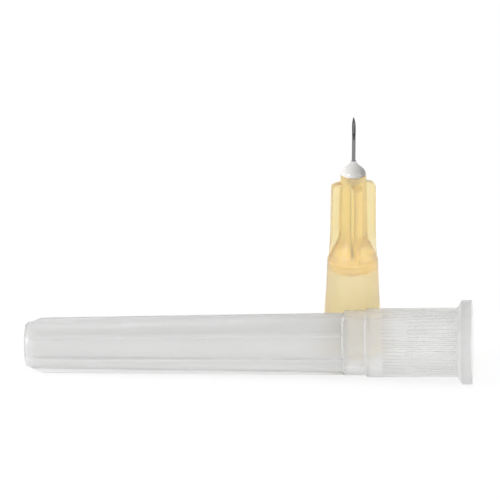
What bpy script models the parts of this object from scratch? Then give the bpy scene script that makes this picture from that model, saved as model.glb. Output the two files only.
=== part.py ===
"""A short hypodermic needle, with its protective cap taken off and laid in front of it.

The needle stands on the open end of its hub. The hub is a moulded amber body with four fins round its
nose, a luer socket below and two lugs that screw into a syringe. The steel cannula is bonded into the nose
with a bead of clear adhesive. The cap is a translucent tube with ribs outside and fine splines inside its
mouth, and it lies on its flange and on two ribs at its closed end.

Everything is in metres. +Z is up and +X runs along the cap towards its mouth. The origin is on the floor,
under the middle of the whole object.
"""

from math import atan2, cos, pi, radians, sin

import bmesh
import bpy
from mathutils import Matrix, Vector

# Cap, measured along its own axis from the closed end to the mouth
CAP_LENGTH = 0.0428
CAP_CORE_RADIUS_CLOSED = 0.0022
CAP_CORE_RADIUS_NECK = 0.0028
CAP_END_ROUND = 0.00035
CAP_NECK_RADIUS = 0.00311
CAP_NECK_START = 0.0305
CAP_WIDE_RADIUS = 0.0033
CAP_WIDE_START = 0.0326
CAP_STEP_BEVEL = 0.00012
CAP_FLANGE_RADIUS = 0.00402
CAP_FLANGE_THICKNESS = 0.00105
CAP_FLANGE_BACK_SLOPE = 0.00035
CAP_FLANGE_ROUND = 0.00012
CAP_FLANGE_BACK_SWEEP = 70

# Cap ribs, which start in a chamfer at the closed end and run out just under the neck's surface
RIB_COUNT = 7
RIB_WIDTH = 0.00042
RIB_RADIUS_CLOSED = 0.00273
RIB_START = 0.0003
RIB_CHAMFER_LENGTH = 0.0013
RIB_UNDER_NECK = 0.00004

# Cap cavity: narrow round the cannula, wider round the fins, with splines that grip the hub's body
CAVITY_END_WALL = 0.0007
CAVITY_RADIUS_CLOSED = 0.0015
CAVITY_RADIUS_NARROW = 0.00195
CAVITY_SEAT_LENGTH = 0.0022
FIN_ROOM = 0.00007
BODY_ROOM = 0.00006
SPLINE_COUNT = 50
SPLINE_DEPTH = 0.00011
SPLINE_LENGTH = 0.0071
GROOVE_SHARE = 0.6
GROOVE_FLANK_SHARE = 0.15
MOUTH_BEVEL = 0.0003

# Hub
HUB_HEIGHT = 0.0184
NOSE_RADIUS = 0.00123
NOSE_BASE_RADIUS = 0.00138
SHOULDER_TOP = 0.0119
SHOULDER_BOTTOM = 0.00975
SHOULDER_RADIUS = 0.00244
BODY_RADIUS = 0.00288
COLLAR_RADIUS = 0.00335
COLLAR_THICKNESS = 0.001
COLLAR_BEVEL = 0.00012

# Hub fins, round the nose
FIN_COUNT = 4
FIN_RADIUS = 0.00212
FIN_BASE_RADIUS = 0.00216
FIN_POINT_RADIUS = 0.00238
FIN_THICKNESS = 0.00095
FIN_BELOW_RIM = 0.00077
FIN_TOP_SLOPE = 0.00015
FIN_CORNER_ROUND = 0.00035
FIN_TAPER_LENGTH = 0.0026
FIN_POINT_WIDTH = 0.00012
FIN_CORNER_SWEEP = 80
FIN_ROOT_DEPTH = 0.00025
FIN_TURN = radians(16.5)

# Hub lugs, on the collar in line with two of the fins
LUG_SPAN = 0.0078
LUG_WIDTH = 0.0028
LUG_CORNER = 0.0005

# Hub passage: a luer socket with its 6 % taper, a funnel, the cannula's bore and the adhesive's well
SOCKET_MOUTH_RADIUS = 0.00215
SOCKET_TAPER = 0.06
SOCKET_DEPTH = 0.0087
FUNNEL_RADIUS = 0.0006
FUNNEL_DEPTH = 0.0008
WELL_RADIUS = 0.00098
WELL_FLOOR_RADIUS = 0.00048
WELL_DEPTH = 0.0009

# Cannula, with a lancet point ground in three planes, and the bead that bonds it
CANNULA_RADIUS = 0.00018
CANNULA_BORE_RADIUS = 0.0001
CANNULA_ABOVE_RIM = 0.0058
CANNULA_ABOVE_FUNNEL = 0.0002
BEVEL_LENGTH = 0.0023
LANCET_LENGTH = 0.0013
LANCET_TURN = radians(38)
BEVEL_FACING = radians(-78)
BEAD_RADIUS = 0.0012
BEAD_HEIGHT = 0.0014
BEAD_FULLNESS = 1.15
BEAD_LIP = 0.00004
BOND_GAP = 0.00003

# Layout of the standing needle and the cap that lies in front of it
HUB_FROM_MOUTH = 0.0118
HUB_TO_CAP_GAP = 0.0002

# Smoothness, and what cutters reach past a surface
BODY_SEGMENTS = 56
SMALL_SEGMENTS = 32
ARC_STEPS = 4
BEAD_STEPS = 12
SHARP_ANGLE = radians(32)
OVERSHOOT = 0.0005
SUNK = 0.00005
MERGE_DISTANCE = 1e-8


# General helpers


def clear_scene():
    for obj in list(bpy.data.objects):
        bpy.data.objects.remove(obj, do_unlink=True)


def finish(name, colour, roughness, transmission=0.0, metallic=0.0):
    material = bpy.data.materials.new(name)
    material.use_nodes = True
    shader = material.node_tree.nodes["Principled BSDF"]
    shader.inputs["Base Color"].default_value = (*colour, 1.0)
    shader.inputs["Roughness"].default_value = roughness
    shader.inputs["Transmission Weight"].default_value = transmission
    shader.inputs["Metallic"].default_value = metallic
    return material


def object_from(bm, name, material=None):
    """Turns a bmesh into a named object, smooth over its round faces and sharp at its corners."""
    bmesh.ops.recalc_face_normals(bm, faces=bm.faces)
    mesh = bpy.data.meshes.new(name)
    bm.to_mesh(mesh)
    bm.free()
    obj = bpy.data.objects.new(name, mesh)
    bpy.context.scene.collection.objects.link(obj)
    if material:
        mesh.materials.append(material)
    mesh.shade_smooth()
    mesh.set_sharp_from_angle(angle=SHARP_ANGLE)
    return obj


def combine(target, operation, bm, name):
    """Joins a shape to an object, or cuts it away. The shape itself is left out of the render."""
    shape = object_from(bm, name)
    shape.hide_render = True
    shape.display_type = "WIRE"
    shape.parent = target
    modifier = target.modifiers.new(name, "BOOLEAN")
    modifier.operation = operation
    modifier.solver = "EXACT"
    modifier.object = shape


def arc(centre_r, centre_z, radius, start, end):
    """Points of a round corner in an outline, from one angle to the other in degrees."""
    angles = [radians(start + (end - start) * i / ARC_STEPS) for i in range(ARC_STEPS + 1)]
    return [(centre_r + radius * cos(a), centre_z + radius * sin(a)) for a in angles]


def between(start, end, share):
    return start + (end - start) * share


def turned(outline, segments):
    """Spins a closed outline of (radius, height) points round the Z axis."""
    bm = bmesh.new()
    verts = [bm.verts.new((radius, 0, height)) for radius, height in outline]
    for a, b in zip(verts, verts[1:] + verts[:1]):
        if max(a.co.x, b.co.x) > MERGE_DISTANCE:
            bm.edges.new((a, b))
    bmesh.ops.spin(
        bm,
        geom=bm.verts[:] + bm.edges[:],
        cent=(0, 0, 0),
        axis=(0, 0, 1),
        angle=2 * pi,
        steps=segments,
        use_merge=True,
    )
    bmesh.ops.remove_doubles(bm, verts=bm.verts, dist=MERGE_DISTANCE)
    return bm


def plate(outline, thickness):
    """An upright plate in the plane of X and Z, from an outline of (radius, height) points."""
    bm = bmesh.new()
    face = bm.faces.new([bm.verts.new((radius, -thickness / 2, height)) for radius, height in outline])
    extruded = bmesh.ops.extrude_face_region(bm, geom=[face])["geom"]
    moved = [item for item in extruded if isinstance(item, bmesh.types.BMVert)]
    bmesh.ops.translate(bm, verts=moved, vec=(0, thickness, 0))
    return bm


def around(bm, count, first_turn):
    """Copies a shape round the Z axis and takes the original away."""
    original = bm.verts[:] + bm.edges[:] + bm.faces[:]
    for i in range(count):
        copied = bmesh.ops.duplicate(bm, geom=original)["geom"]
        verts = [item for item in copied if isinstance(item, bmesh.types.BMVert)]
        turn = Matrix.Rotation(first_turn + 2 * pi * i / count, 3, "Z")
        bmesh.ops.rotate(bm, verts=verts, cent=(0, 0, 0), matrix=turn)
    originals = [item for item in original if isinstance(item, bmesh.types.BMVert)]
    bmesh.ops.delete(bm, geom=originals, context="VERTS")
    return bm


# Cap


def cap_core_radius(along):
    """Outer radius of the tube between its ribs, at a distance from the closed end."""
    return between(CAP_CORE_RADIUS_CLOSED, CAP_CORE_RADIUS_NECK, along / CAP_NECK_START)


def cap_outline():
    back = CAP_LENGTH - CAP_FLANGE_THICKNESS
    rim = CAP_FLANGE_RADIUS - CAP_FLANGE_ROUND
    outline = [(0, 0)]
    outline += arc(CAP_CORE_RADIUS_CLOSED - CAP_END_ROUND, CAP_END_ROUND, CAP_END_ROUND, -90, 0)
    outline += [
        (cap_core_radius(CAP_NECK_START), CAP_NECK_START),
        (CAP_NECK_RADIUS - CAP_STEP_BEVEL, CAP_NECK_START),
        (CAP_NECK_RADIUS, CAP_NECK_START + CAP_STEP_BEVEL),
        (CAP_NECK_RADIUS, CAP_WIDE_START),
        (CAP_WIDE_RADIUS, CAP_WIDE_START + CAP_STEP_BEVEL),
        (CAP_WIDE_RADIUS, back - CAP_FLANGE_BACK_SLOPE),
    ]
    outline += arc(rim, back + CAP_FLANGE_ROUND, CAP_FLANGE_ROUND, -CAP_FLANGE_BACK_SWEEP, 0)
    outline += arc(rim, CAP_LENGTH - CAP_FLANGE_ROUND, CAP_FLANGE_ROUND, 0, 90)
    outline += [(0, CAP_LENGTH)]
    return outline


def cap_ribs():
    """Ribs from the closed end to the neck. The cap lies on the two that have the floor between them."""
    inside = CAP_CORE_RADIUS_CLOSED / 2
    outline = [
        (inside, RIB_START),
        (cap_core_radius(RIB_START) - SUNK, RIB_START),
        (RIB_RADIUS_CLOSED, RIB_START + RIB_CHAMFER_LENGTH),
        (CAP_NECK_RADIUS - RIB_UNDER_NECK, CAP_NECK_START + CAP_STEP_BEVEL),
        (inside, CAP_NECK_START + CAP_STEP_BEVEL),
    ]
    return around(plate(outline, RIB_WIDTH), RIB_COUNT, pi / RIB_COUNT)


def hub_body_radius(height):
    """Outer radius of the hub's tapered body, at a height above its open end."""
    share = (SHOULDER_BOTTOM - height) / (SHOULDER_BOTTOM - COLLAR_THICKNESS)
    return between(SHOULDER_RADIUS, BODY_RADIUS, share)


def spline_radius(along):
    """Radius inside the splines, which hold the hub's body when the cap is on, its mouth at the collar."""
    return hub_body_radius(COLLAR_THICKNESS + CAP_LENGTH - along) + BODY_ROOM


def cap_cavity():
    rim_place = CAP_LENGTH + COLLAR_THICKNESS - HUB_HEIGHT
    splines_start = CAP_LENGTH - SPLINE_LENGTH
    mouth = spline_radius(CAP_LENGTH)
    outline = [
        (0, CAVITY_END_WALL),
        (CAVITY_RADIUS_CLOSED, CAVITY_END_WALL),
        (CAVITY_RADIUS_NARROW, rim_place - CAVITY_SEAT_LENGTH),
        (FIN_BASE_RADIUS + FIN_ROOM, rim_place),
        (spline_radius(splines_start), splines_start),
        (mouth, CAP_LENGTH - MOUTH_BEVEL),
        (mouth + MOUTH_BEVEL + OVERSHOOT, CAP_LENGTH + OVERSHOOT),
        (0, CAP_LENGTH + OVERSHOOT),
    ]
    return turned(outline, BODY_SEGMENTS)


def spline_grooves():
    """A star-shaped plug whose points cut the grooves between the splines, out through the mouth."""
    bm = bmesh.new()
    pitch = 2 * pi / SPLINE_COUNT
    corners = (
        (0, -SUNK),
        (GROOVE_FLANK_SHARE, SPLINE_DEPTH),
        (GROOVE_SHARE - GROOVE_FLANK_SHARE, SPLINE_DEPTH),
        (GROOVE_SHARE, -SUNK),
    )
    ends = []
    for along in (CAP_LENGTH - SPLINE_LENGTH, CAP_LENGTH):
        ring = []
        for i in range(SPLINE_COUNT):
            for share, depth in corners:
                radius = spline_radius(along) + depth
                angle = pitch * (i + share)
                ring.append(bm.verts.new((radius * cos(angle), radius * sin(angle), along)))
        ends.append(bm.faces.new(ring))
    bmesh.ops.bridge_loops(bm, edges=[edge for end in ends for edge in end.edges])
    return bm


def cap_rest():
    """How the cap lies on its flange and two ribs: its tilt, and the height of its closed end's middle."""
    flange_place = CAP_LENGTH - CAP_FLANGE_THICKNESS + CAP_FLANGE_ROUND
    rib_place = RIB_START + RIB_CHAMFER_LENGTH
    half_gap = pi / RIB_COUNT
    rib_reach = RIB_RADIUS_CLOSED * cos(half_gap) + RIB_WIDTH / 2 * sin(half_gap)
    tilt = atan2(CAP_FLANGE_RADIUS - rib_reach, flange_place - rib_place)
    return tilt, CAP_FLANGE_RADIUS * cos(tilt) - flange_place * sin(tilt)


def make_cap(root):
    polypropylene = finish("translucent_polypropylene", (0.83, 0.84, 0.84), 0.35, transmission=0.8)
    cap = object_from(turned(cap_outline(), BODY_SEGMENTS), "protective_cap", polypropylene)
    combine(cap, "UNION", cap_ribs(), "cap_ribs")
    combine(cap, "DIFFERENCE", cap_cavity(), "cap_cavity")
    combine(cap, "DIFFERENCE", spline_grooves(), "cap_spline_grooves")
    tilt, height = cap_rest()
    cap.parent = root
    cap.rotation_euler = (0, pi / 2 - tilt, 0)
    cap.location = (0, 0, height)
    return cap


# Hub


def shoulder_height(radius):
    """Height at which the shoulder's cone has this radius."""
    share = (radius - NOSE_BASE_RADIUS) / (SHOULDER_RADIUS - NOSE_BASE_RADIUS)
    return between(SHOULDER_TOP, SHOULDER_BOTTOM, share)


def hub_outline():
    edge = COLLAR_RADIUS - COLLAR_BEVEL
    return [
        (0, HUB_HEIGHT),
        (NOSE_RADIUS, HUB_HEIGHT),
        (NOSE_BASE_RADIUS, SHOULDER_TOP),
        (SHOULDER_RADIUS, SHOULDER_BOTTOM),
        (BODY_RADIUS, COLLAR_THICKNESS),
        (edge, COLLAR_THICKNESS),
        (COLLAR_RADIUS, COLLAR_THICKNESS - COLLAR_BEVEL),
        (COLLAR_RADIUS, COLLAR_BEVEL),
        (edge, 0),
        (0, 0),
    ]


def hub_fins():
    """Fins whose lower ends flare out and narrow to a point, where they run into the shoulder."""
    inside = NOSE_RADIUS - FIN_ROOT_DEPTH
    top = HUB_HEIGHT - FIN_BELOW_RIM
    corner_r = FIN_RADIUS - FIN_CORNER_ROUND
    corner_z = top - FIN_TOP_SLOPE - FIN_CORNER_ROUND
    point = shoulder_height(FIN_POINT_RADIUS - SUNK)
    outline = [(inside, point + FIN_TAPER_LENGTH), (FIN_BASE_RADIUS, point + FIN_TAPER_LENGTH)]
    outline += arc(corner_r, corner_z, FIN_CORNER_ROUND, 0, FIN_CORNER_SWEEP)
    outline += [(inside, top)]
    bm = plate(outline, FIN_THICKNESS)
    bm.normal_update()
    underside = min(bm.faces, key=lambda face: face.calc_center_median().z)
    lower = bmesh.ops.extrude_discrete_faces(bm, faces=[underside])["faces"]
    bmesh.ops.translate(bm, verts=lower[0].verts, vec=(0, 0, -FIN_TAPER_LENGTH))
    narrower = FIN_POINT_WIDTH / FIN_THICKNESS
    bmesh.ops.scale(bm, verts=lower[0].verts, vec=(FIN_POINT_RADIUS / FIN_BASE_RADIUS, narrower, 1))
    return around(bm, FIN_COUNT, FIN_TURN)


def hub_lugs():
    """The two lugs are the ends of one bar through the collar."""
    bm = bmesh.new()
    bmesh.ops.create_cube(bm, size=1)
    bmesh.ops.scale(bm, verts=bm.verts, vec=(LUG_SPAN, LUG_WIDTH, COLLAR_THICKNESS - 2 * SUNK))
    bmesh.ops.translate(bm, verts=bm.verts, vec=(0, 0, COLLAR_THICKNESS / 2))
    upright = [edge for edge in bm.edges if abs(edge.verts[0].co.z - edge.verts[1].co.z) > SUNK]
    bmesh.ops.bevel(
        bm, geom=upright, offset=LUG_CORNER, segments=ARC_STEPS, profile=0.5, affect="EDGES", material=-1
    )
    bmesh.ops.rotate(bm, verts=bm.verts, cent=(0, 0, 0), matrix=Matrix.Rotation(FIN_TURN + pi / 2, 3, "Z"))
    return bm


def hub_passage():
    """All that is hollow in the hub, from the socket's mouth to the adhesive well."""
    socket_end_radius = SOCKET_MOUTH_RADIUS - SOCKET_TAPER / 2 * SOCKET_DEPTH
    bore = CANNULA_RADIUS + BOND_GAP
    well_slope = (WELL_RADIUS - WELL_FLOOR_RADIUS) / WELL_DEPTH
    outline = [
        (0, HUB_HEIGHT + OVERSHOOT),
        (WELL_RADIUS + well_slope * OVERSHOOT, HUB_HEIGHT + OVERSHOOT),
        (WELL_FLOOR_RADIUS, HUB_HEIGHT - WELL_DEPTH),
        (bore, HUB_HEIGHT - WELL_DEPTH),
        (bore, SOCKET_DEPTH + FUNNEL_DEPTH),
        (FUNNEL_RADIUS, SOCKET_DEPTH),
        (socket_end_radius, SOCKET_DEPTH),
        (SOCKET_MOUTH_RADIUS + SOCKET_TAPER / 2 * OVERSHOOT, -OVERSHOOT),
        (0, -OVERSHOOT),
    ]
    return turned(outline, BODY_SEGMENTS)


def make_hub(root, place):
    amber = finish("amber_plastic", (0.86, 0.69, 0.35), 0.35, transmission=0.3)
    hub = object_from(turned(hub_outline(), BODY_SEGMENTS), "hub", amber)
    combine(hub, "UNION", hub_fins(), "hub_fins")
    combine(hub, "UNION", hub_lugs(), "hub_lugs")
    combine(hub, "DIFFERENCE", hub_passage(), "hub_passage")
    hub.parent = root
    hub.location = place
    return hub


# Cannula and adhesive bead


def grinding_plane(facing, length):
    """A block that grinds the cannula's point. Its face runs through the tip, falls by the length over one
    cannula diameter, and faces the given way round the Z axis."""
    behind = BEVEL_FACING + pi
    tip_height = HUB_HEIGHT + CANNULA_ABOVE_RIM
    tip = Vector((CANNULA_RADIUS * cos(behind), CANNULA_RADIUS * sin(behind), tip_height))
    outwards = Vector((length * cos(facing), length * sin(facing), 2 * CANNULA_RADIUS))
    size = 2 * BEVEL_LENGTH
    bm = bmesh.new()
    bmesh.ops.create_cube(bm, size=size)
    bmesh.ops.translate(bm, verts=bm.verts, vec=(0, 0, size / 2))
    turn = outwards.to_track_quat("Z", "Y").to_matrix()
    bmesh.ops.rotate(bm, verts=bm.verts, cent=(0, 0, 0), matrix=turn)
    bmesh.ops.translate(bm, verts=bm.verts, vec=tip)
    return bm


def make_cannula(root, place):
    lower = SOCKET_DEPTH + FUNNEL_DEPTH + CANNULA_ABOVE_FUNNEL
    upper = HUB_HEIGHT + CANNULA_ABOVE_RIM
    outline = [
        (CANNULA_BORE_RADIUS, upper),
        (CANNULA_RADIUS, upper),
        (CANNULA_RADIUS, lower),
        (CANNULA_BORE_RADIUS, lower),
    ]
    stainless = finish("stainless_steel", (0.6, 0.6, 0.61), 0.25, metallic=1.0)
    cannula = object_from(turned(outline, SMALL_SEGMENTS), "cannula", stainless)
    combine(cannula, "DIFFERENCE", grinding_plane(BEVEL_FACING, BEVEL_LENGTH), "bevel_plane")
    for side, name in ((1, "lancet_plane_right"), (-1, "lancet_plane_left")):
        plane = grinding_plane(BEVEL_FACING + side * LANCET_TURN, LANCET_LENGTH)
        combine(cannula, "DIFFERENCE", plane, name)
    cannula.parent = root
    cannula.location = place
    return cannula


def make_bead(root, place):
    """The bead fills the well and rises over the rim in a bell that draws up along the cannula."""
    inner = CANNULA_RADIUS + BOND_GAP
    seat = HUB_HEIGHT + BOND_GAP
    outline = [(inner, HUB_HEIGHT - WELL_DEPTH + BOND_GAP)]
    outline += [(WELL_FLOOR_RADIUS - BOND_GAP, HUB_HEIGHT - WELL_DEPTH + BOND_GAP)]
    outline += [(WELL_RADIUS - BOND_GAP, seat)]
    for i in range(BEAD_STEPS + 1):
        share = i / BEAD_STEPS
        bell = (1 + cos(pi * share**BEAD_FULLNESS)) / 2
        height = between(seat, HUB_HEIGHT + BEAD_HEIGHT, share)
        outline.append((between(inner + BEAD_LIP, BEAD_RADIUS, bell), height))
    outline += [(inner, HUB_HEIGHT + BEAD_HEIGHT)]
    adhesive = finish("clear_adhesive", (0.85, 0.86, 0.87), 0.2, transmission=0.7)
    bead = object_from(turned(outline, SMALL_SEGMENTS), "adhesive_bead", adhesive)
    bead.parent = root
    bead.location = place
    return bead


# Layout


def hub_place():
    """The hub stands beside the cap's wide end, with its body as near to it as the gap allows."""
    tilt, _ = cap_rest()
    behind = CAP_WIDE_RADIUS + BODY_RADIUS + HUB_TO_CAP_GAP
    return Vector((CAP_LENGTH * cos(tilt) - HUB_FROM_MOUTH, behind, 0))


def centre_on_floor(root, pieces):
    """Moves everything so that the origin is on the floor, under the middle of the whole object."""
    graph = bpy.context.evaluated_depsgraph_get()
    points = []
    for piece in pieces:
        mesh = piece.evaluated_get(graph).data
        points += [piece.matrix_world @ vert.co for vert in mesh.vertices]
    low = [min(point[axis] for point in points) for axis in range(3)]
    high = [max(point[axis] for point in points) for axis in range(3)]
    root.location = (-(low[0] + high[0]) / 2, -(low[1] + high[1]) / 2, -low[2])


def main():
    clear_scene()
    root = bpy.data.objects.new("needle_origin", None)
    bpy.context.scene.collection.objects.link(root)
    place = hub_place()
    pieces = [make_cap(root), make_hub(root, place), make_cannula(root, place), make_bead(root, place)]
    bpy.context.view_layer.update()
    centre_on_floor(root, pieces)


main()
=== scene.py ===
"""Looks of a short hypodermic needle that stands behind its protective cap.

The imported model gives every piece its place. Each moulding is turned from its section, then its ridges are
drawn out of the turned surface with rounded edges and roots, as a mould leaves them. The needle is made of
an amber hub, a steel cannula and a bead of adhesive, and the cap is one translucent tube.
"""

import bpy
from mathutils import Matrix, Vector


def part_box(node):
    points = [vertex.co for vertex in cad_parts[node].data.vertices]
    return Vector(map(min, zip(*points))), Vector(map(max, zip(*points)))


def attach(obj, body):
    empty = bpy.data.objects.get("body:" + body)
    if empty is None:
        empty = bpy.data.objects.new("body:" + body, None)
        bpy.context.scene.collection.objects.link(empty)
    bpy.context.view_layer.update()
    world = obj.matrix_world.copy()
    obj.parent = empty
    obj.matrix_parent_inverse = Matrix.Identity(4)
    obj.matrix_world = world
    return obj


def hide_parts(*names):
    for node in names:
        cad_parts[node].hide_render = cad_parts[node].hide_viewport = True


bl_info = {
    "name": "Needle and Cap",
    "version": (1, 0, 0),
    "blender": (4, 5, 0),
    "location": "3D View > Sidebar > Needle",
    "description": "Models a hypodermic needle with its cap, and a pale studio round them",
    "category": "Object",
}

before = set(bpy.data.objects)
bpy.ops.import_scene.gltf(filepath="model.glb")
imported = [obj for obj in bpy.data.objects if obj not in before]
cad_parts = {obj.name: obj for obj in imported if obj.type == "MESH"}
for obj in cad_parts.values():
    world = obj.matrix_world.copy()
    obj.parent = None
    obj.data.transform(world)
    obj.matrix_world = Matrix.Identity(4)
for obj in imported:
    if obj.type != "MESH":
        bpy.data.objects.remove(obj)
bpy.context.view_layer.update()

from math import atan2, cos, pi, radians, sin, sqrt

import bmesh
import bpy
from bpy.props import FloatProperty, FloatVectorProperty, IntProperty, PointerProperty
from bpy.types import Operator, Panel, PropertyGroup
from mathutils import Matrix, Vector

BODY = "root"

# Smoothness of the turned surfaces
HUB_SEGMENTS = 192
SMALL_SEGMENTS = 96
ARC_STEPS = 4
SHARP_ANGLE = radians(34)
SUPPORT = 0.00006
MERGE_DISTANCE = 1e-9

# Section of a ridge, whose points run from its middle over the rounded edge and down to the rounded root
EDGE_ANGLES = (90, 60, 30, 0)
ROOT_ANGLES = (0, 45, 90)
LAST_EDGE_STEP = len(EDGE_ANGLES)
LAST_RIDGE_STEP = LAST_EDGE_STEP + len(ROOT_ANGLES)
RIDGE_DRAFT = 0.00001
EDGE_SHARE = 0.8

# Cap details
CAP_END_ROUND = 0.00035
CAP_STEP_SLOPE = 0.00018
CAP_NECK_FOOT = 0.00008
CAP_FLANGE_ROUND = 0.00012
CAP_MOUTH_ROUND = 0.00005
CAP_FLANGE_BACK_SLOPE = 0.00035
CAP_FLANGE_BACK_SWEEP = 70
RIB_START = 0.0003
RIB_SUNK = 0.00005
RIB_CHAMFER_LENGTH = 0.0013
RIB_CHAMFER_BLEND = 0.00006
RIB_UNDER_NECK = 0.00004
RIB_EDGE_ROUND = 0.0001
RIB_ROOT_ROUND = 0.00014
RIB_STATIONS = (0.00045, 0.0008, 0.0011, 0.0014, 0.0015, 0.0016, 0.0017, 0.0018, 0.0021)
CAVITY_END_ROUND = 0.0005
CAVITY_SEAT_LENGTH = 0.0022
FIN_ROOM = 0.00007
BODY_ROOM = 0.00006
SPLINE_FADE = 0.0025
SPLINE_SEGMENTS = 7
GROOVE_SHARE = 0.6
GROOVE_FLANK_SHARE = 0.15
MOUTH_BEVEL = 0.0003

# Hub details
FIN_COUNT = 4
RIM_ROUND = 0.00006
COLLAR_ROUND = 0.00012
COLLAR_ROOT_ROUND = 0.00012
FIN_TOP_SLOPE = 0.00015
FIN_CORNER_ROUND = 0.00035
FIN_CORNER_ANGLES = (80, 60, 40, 20, 0)
FIN_EDGE_ROUND = 0.0001
FIN_ROOT_ROUND = 0.0001
FIN_POINT_WIDTH = 0.00012
FIN_TAPER_STATIONS = 10
FIN_SUNK = 0.00005
LUG_CORNER = 0.0005
LUG_EDGE = 0.00005
LUG_STEP = 0.00002
SOCKET_LEAD = 0.00008
BORE_ROOM = 0.00003
FUNNEL_RADIUS = 0.0006
FUNNEL_DEPTH = 0.0008
WELL_RADIUS = 0.00098
WELL_FLOOR_RADIUS = 0.00048
WELL_DEPTH = 0.0009

# Cannula and bead details
CANNULA_ABOVE_FUNNEL = 0.0002
BEAD_LIP = 0.00004
BEAD_FULLNESS = 1.15
BEAD_STEPS = 24

# The cap's three finishes, in the order of its material slots
SATIN, SMOOTH, FROSTED = range(3)
SATIN_ROUGHNESS = (0.29, 0.35)
SMOOTH_ROUGHNESS = (0.18, 0.24)

# Milky plastic of the cap
MILKY_IOR = 1.49
MILKY_DEPTH_TINT = (0.3, 0.3, 0.31)
MILKY_DEPTH = 20
MILKY_FLOW = (6, 1, 1)
MILKY_CLOUDS = 900
MILKY_CLOUD_SHADE = 0.96
MILKY_GLOSS = 1700
MILKY_GRAIN_FLOW = (2, 1, 1)
MILKY_GRAIN = 5200
MILKY_GRAIN_HEIGHT = 0.0000015

# Amber plastic of the hub
AMBER_IOR = 1.35
AMBER_DEPTH = 640
AMBER_ROUGHNESS = (0.32, 0.39)
AMBER_FLOW = (1, 1, 3)
AMBER_CLOUDS = 700
AMBER_CLOUD_SHADE = (1.0, 0.96, 0.94)
AMBER_GLOSS = 1500
AMBER_GRAIN = 4600
AMBER_GRAIN_HEIGHT = 0.000002
MARK_FLOW = (1, 1, 0.2)
MARK_SCALE = 520
MARK_CONTRAST = (-0.5, 1.5)
MARK_SHADE = (0.98, 0.94, 0.84)
MARK_REACH = 0.0018
MARK_HEIGHT = 0.00004

# Steel of the cannula
STREAK_SCALE = 9000
STREAK_CONTRAST = 0.6
STREAK_SHADE = 0.82
DRAWN_STREAKS = (1, 1, 40)
DRAWN_ROUGHNESS = (0.18, 0.26)
DRAWN_HEIGHT = 0.000001
GROUND_STREAKS = (30, 1, 1)
GROUND_ROUGHNESS = (0.3, 0.4)
GROUND_HEIGHT = 0.000002

# Adhesive of the bead
ADHESIVE_IOR = 1.4
ADHESIVE_CLEARNESS = 0.25
ADHESIVE_DEPTH_TINT = (0.6, 0.6, 0.6)
ADHESIVE_DEPTH = 60
ADHESIVE_ROUGHNESS = (0.06, 0.12)
ADHESIVE_GLOSS = 2600
# Share of the bead's radius over which painted shade darkens the bead from its pale side to its +X side
ADHESIVE_PAINTED_SHADE_REACH = 0.75
HAZE_SCALE = 1400
HAZE_SHADE = (0.95, 0.95, 0.95)
HAZE_HEIGHT = 0.000006

# Noise: its layers, and the middle of its range
FEW_LAYERS, SOME_LAYERS, MANY_LAYERS = 2, 3, 4
NOISE_RANGE = (0.3, 0.7)

# Floor and lamps
FLOOR_REACH = 3.0
FLOOR_DROP = 0.00002
FLOOR_WHITE = 0.95
FLOOR_LIGHT = 0.3
FLOOR_SHADE = 0.22
FLOOR_GLOW = 0.8
LAMP_DISTANCE = 0.4
LAMP_SIZE = 0.12
KEY_FROM = (-0.62, -0.6, 0.5)
FILL_FROM = (0.9, -0.35, 0.3)


def size(name, description, default):
    """A length that a user can change."""
    return FloatProperty(
        name=name,
        description=description,
        default=default,
        min=0.0,
        precision=5,
        unit="LENGTH",
        subtype="DISTANCE",
    )


def how_many(name, description, default):
    """A number of ridges that a user can change."""
    return IntProperty(name=name, description=description, default=default, min=3)


def colour(name, description, default):
    """A colour that a user can change."""
    return FloatVectorProperty(
        name=name, description=description, default=default, min=0.0, max=1.0, size=3, subtype="COLOR"
    )


def share(name, description, default):
    """A value from 0 to 1 that a user can change."""
    return FloatProperty(
        name=name, description=description, default=default, min=0.0, max=1.0, subtype="FACTOR"
    )


def bearing(name, description, degrees):
    """An angle that a user can change."""
    return FloatProperty(
        name=name, description=description, default=radians(degrees), unit="ROTATION", subtype="ANGLE"
    )


def brightness(name, description, default):
    """An amount of light that a user can change."""
    return FloatProperty(name=name, description=description, default=default, min=0.0)


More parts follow.
